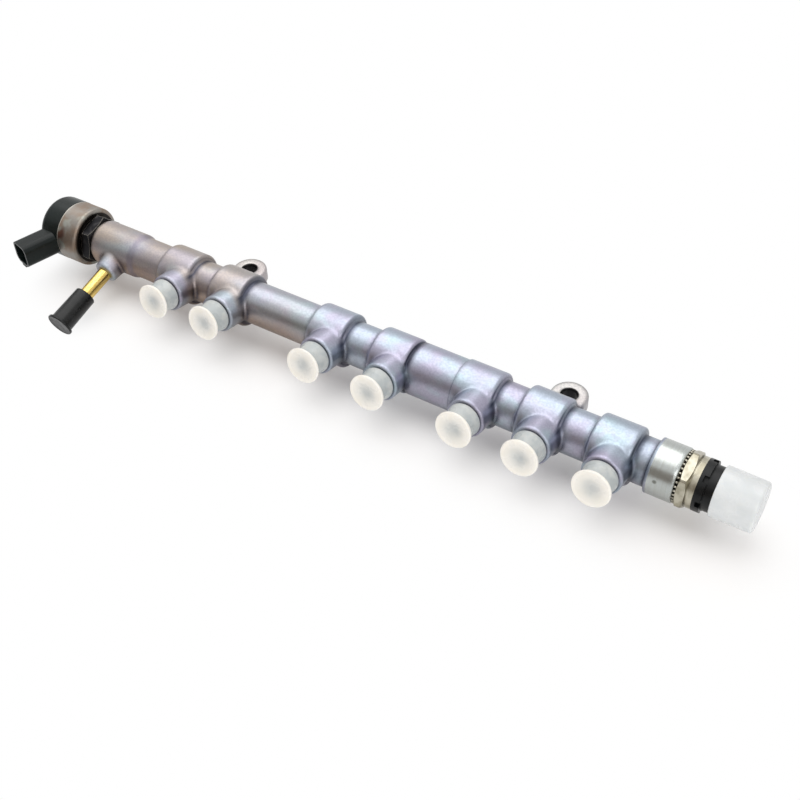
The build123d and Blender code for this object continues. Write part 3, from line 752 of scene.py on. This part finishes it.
def make_floor(room, side=6.0, half_line=0.19):
    """A wide floor of white paper under the part's lowest point.  What looks at it directly or in
    a reflection sees it lit near the part, so that it keeps the part's shadow, and white further
    off, by the distance from a line under the rail that is half_line long each way."""
    material, add, shader, place = new_finish("white_paper")
    paper = add("MapRange", add("TexNoise", place, 1000 / 60, 2), 0.3, 0.7, 0, 0.3, **SMOOTH)
    feed(shader, Base_Color=add("Mix", paper, tuple(room.floor_colour), linear("fbfbfb"),
                                **COLOURS), Roughness=0.9, Specular_IOR_Level=0.1)
    x, y = add("SeparateXYZ", place).outputs[:2]
    past = add("Math", add("Math", x, operation="ABSOLUTE"), half_line, operation="SUBTRACT")
    spot = add("CombineXYZ", add("Math", past, 0.0, **LARGER), y)
    away = add("VectorMath", spot, (0, -0.03, 0), **APART)
    share = add("Math", seen_plainly(add), add("MapRange", away, -0.01, 0.055, **SMOOTH), **TIMES)
    # an Emission is white, of strength 1, as it comes
    both = add("MixShader", share, shader, add("Emission"))
    feed(next(n for n in material.node_tree.nodes if n.type == "OUTPUT_MATERIAL"), both)
    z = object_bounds()[0].z
    stage_sheet("floor", [(-side, -side, z), (side, -side, z), (side, side, z), (-side, side, z)],
                material)


def make_card():
    """A grey card low in front of the part.  Only reflections see it, and it gives the metal
    its dark lower half."""
    material, add, shader, place = new_finish("grey_felt")
    feed(shader, Base_Color=add("Mix", add("TexNoise", place, 1000 / 4, 2), linear("9a958f"),
                                linear("a59f98"), **COLOURS),
         Roughness=0.95, Specular_IOR_Level=0.1)
    left, right, y, low, high = -1.6, 0.9, -0.78, 0.02, 0.66
    card = stage_sheet("dark_card", [(left, y, low), (right, y, low), (right, y, high),
                                     (left, y, high)], material)
    for way in ("camera", "diffuse", "shadow", "transmission"):
        setattr(card, "visible_" + way, False)


def make_world(scene):
    """White all round to the camera, to metal and through plastic, and softer and a little
    warmer as a lamp, so that shadows are warm."""
    world = bpy.data.worlds.new("studio")
    scene.world = world
    world.use_nodes = True
    add = partial(put, world.node_tree)
    sky = next(n for n in world.node_tree.nodes if n.type == "BACKGROUND")
    feed(sky, add("Mix", seen_plainly(add), (0.46, 0.42, 0.395), (1, 1, 1), **COLOURS))


def add_lamp(name, power, size, place):
    """A soft rectangular lamp aimed at the middle of the rail, on the ears' plane."""
    lamp = bpy.data.lights.new(name, "AREA")
    lamp.shape = "RECTANGLE"
    lamp.size, lamp.size_y = size
    lamp.energy = power
    thing = into_scene(name, lamp)
    thing.location = place
    aim = Vector((0, RAIL_AXIS.y, 0)) - Vector(place)
    thing.rotation_euler = aim.to_track_quat("-Z", "Y").to_euler()


def make_camera(scene, room):
    """A camera on the ports' side and above, nearer to the sensor end."""
    right = Vector((0.8430, 0.5365, -0.0395))
    up = Vector((-0.3574, 0.6135, 0.7042))
    back = right.cross(up).normalized()
    up = back.cross(right).normalized()
    camera = bpy.data.cameras.new("camera")
    camera.sensor_fit = "HORIZONTAL"
    camera.lens = camera.sensor_width / 2 / tan(room.view_angle / 2)
    camera.clip_start, camera.clip_end = 0.01, 50
    thing = into_scene("camera", camera)
    turn = Matrix((right, up, back)).transposed().to_4x4()
    thing.matrix_world = Matrix.Translation((0.25397, -0.3685, 0.40224)) @ turn
    scene.camera = thing


class FUELRAIL_PT_panel(bpy.types.Panel):
    """Lists the rail's pieces and its studio"""
    bl_idname = "FUELRAIL_PT_panel"
    bl_label = "Fuel Rail"
    bl_space_type = "VIEW_3D"
    bl_region_type = "UI"
    bl_category = "Fuel Rail"

    def draw(self, context):
        for name in ("fuel_rail_finish", "fuel_rail_studio"):
            group = getattr(context.scene, name)
            for key in group.bl_rna.properties.keys():
                if key not in ("rna_type", "name"):
                    self.layout.prop(group, key)
        for operator in OPERATORS:
            self.layout.operator(operator.bl_idname)


OPERATORS = (FUELRAIL_OT_forging, FUELRAIL_OT_port_caps, FUELRAIL_OT_return_pipe,
             FUELRAIL_OT_valve, FUELRAIL_OT_sensor, FUELRAIL_OT_studio)
CLASSES = (FuelRailFinish, FuelRailStudio, *OPERATORS, FUELRAIL_PT_panel)


def register():
    """Registers the classes and puts both property groups on the scene."""
    for cls in CLASSES:
        bpy.utils.register_class(cls)
    bpy.types.Scene.fuel_rail_finish = bpy.props.PointerProperty(type=FuelRailFinish)
    bpy.types.Scene.fuel_rail_studio = bpy.props.PointerProperty(type=FuelRailStudio)


def unregister():
    """Takes both property groups and the classes away again."""
    del bpy.types.Scene.fuel_rail_studio
    del bpy.types.Scene.fuel_rail_finish
    for cls in reversed(CLASSES):
        bpy.utils.unregister_class(cls)


def main():
    register()
    bpy.ops.fuelrail.forging()
    bpy.ops.fuelrail.port_caps()
    bpy.ops.fuelrail.return_pipe()
    bpy.ops.fuelrail.valve()
    bpy.ops.fuelrail.sensor()
    bpy.ops.fuelrail.studio()


if __name__ == "__main__":
    main()
